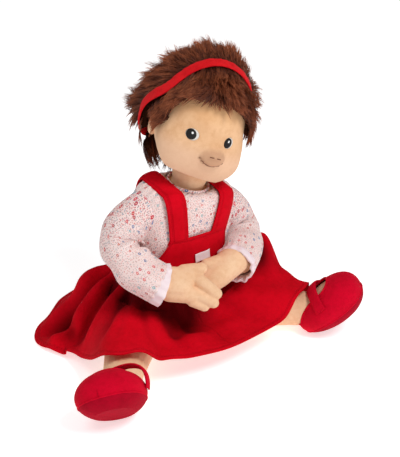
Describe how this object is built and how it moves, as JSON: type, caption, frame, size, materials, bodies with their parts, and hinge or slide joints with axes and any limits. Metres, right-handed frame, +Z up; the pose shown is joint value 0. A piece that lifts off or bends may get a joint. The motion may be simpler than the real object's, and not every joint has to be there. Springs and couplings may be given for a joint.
{
  "type": "sitting rag doll",
  "caption": "Soft stuffed doll that sits with legs spread and hands clasped, in a red pinafore, printed blouse, strap shoes and headband, with faux-fur hair.",
  "frame": {"origin": "middle of the bounding box, on the floor that the doll sits on", "axes": "+Z up, -Y the way the doll faces, +X toward its own left side"},
  "size_m": [0.536, 0.426, 0.4701],
  "materials": {
    "skin": "velour with a short nap",
    "hair": "long-pile faux fur",
    "dress": "matt red velour",
    "band": "red jersey",
    "blouse": "cotton with a small scattered flower print",
    "hem": "cotton, turned hem",
    "shoe": "red velour",
    "stitch": "satin-stitched thread",
    "lining": "plain woven cotton"
  },
  "bodies": {
    "torso": {"torso": "skin", "blouse_body": "blouse", "neckband": "blouse", "dress_bodice": "dress", "right_strap": "dress", "left_strap": "dress", "seat_gusset": "skin", "pellet_bag": "lining", "skirt_right": "dress", "skirt_left": "dress"},
    "neck": {"neck": "skin"},
    "head": {"head": "skin", "right_eye": "stitch", "right_ear": "skin", "left_eye": "stitch", "left_ear": "skin", "headband": "band", "hair_cap": "hair"},
    "right_arm": {"right_arm": "skin", "right_sleeve": "blouse", "right_cuff": "hem"},
    "left_arm": {"left_arm": "skin", "left_sleeve": "blouse", "left_cuff": "hem"},
    "right_leg": {"right_leg": "skin", "right_shoe_upper": "shoe", "right_shoe_sole": "shoe"},
    "left_leg": {"left_leg": "skin", "left_shoe_upper": "shoe", "left_shoe_sole": "shoe"},
    "right_shoe_strap": {"right_shoe_strap": "shoe"},
    "left_shoe_strap": {"left_shoe_strap": "shoe"}
  },
  "joints": [
    {"name": "neck_turn", "type": "hinge", "parent": "torso", "child": "neck", "pos_m": [0.03925, -0.02923, 0.27706], "axis": [0.1409, -0.1845, 0.9727], "range_deg": [-30, 30]},
    {"name": "neck_nod", "type": "hinge", "parent": "neck", "child": "head", "pos_m": [0.03925, -0.02923, 0.27706], "axis": [0.9863, -0.059, -0.1541], "range_deg": [-8, 5]},
    {"name": "right_shoulder_raise", "type": "hinge", "parent": "torso", "child": "right_arm", "pos_m": [0.0308, -0.01816, 0.2187], "axis": [-0.9863, 0.059, 0.1541], "range_deg": [0, 40]},
    {"name": "left_shoulder_raise", "type": "hinge", "parent": "torso", "child": "left_arm", "pos_m": [0.0308, -0.01816, 0.2187], "axis": [-0.9863, 0.059, 0.1541], "range_deg": [0, 40]},
    {"name": "right_hip_swing", "type": "hinge", "parent": "torso", "child": "right_leg", "pos_m": [-0.04653, -0.00036, 0], "axis": [0, 0, -1], "range_deg": [-20, 10], "deforming": ["skirt_right"]},
    {"name": "left_hip_swing", "type": "hinge", "parent": "torso", "child": "left_leg", "pos_m": [0.05347, -0.00036, 0], "axis": [0, 0, 1], "range_deg": [-20, 10], "deforming": ["skirt_left"]},
    {"name": "right_shoe_strap_lift", "type": "hinge", "parent": "right_leg", "child": "right_shoe_strap", "pos_m": [-0.21572, -0.12239, 0.05349], "axis": [-0.7027, -0.3482, 0.6204], "range_deg": [0, 75]},
    {"name": "left_shoe_strap_lift", "type": "hinge", "parent": "left_leg", "child": "left_shoe_strap", "pos_m": [0.21715, -0.12789, 0.06388], "axis": [-0.542, 0.509, -0.6687], "range_deg": [0, 75]}
  ]
}
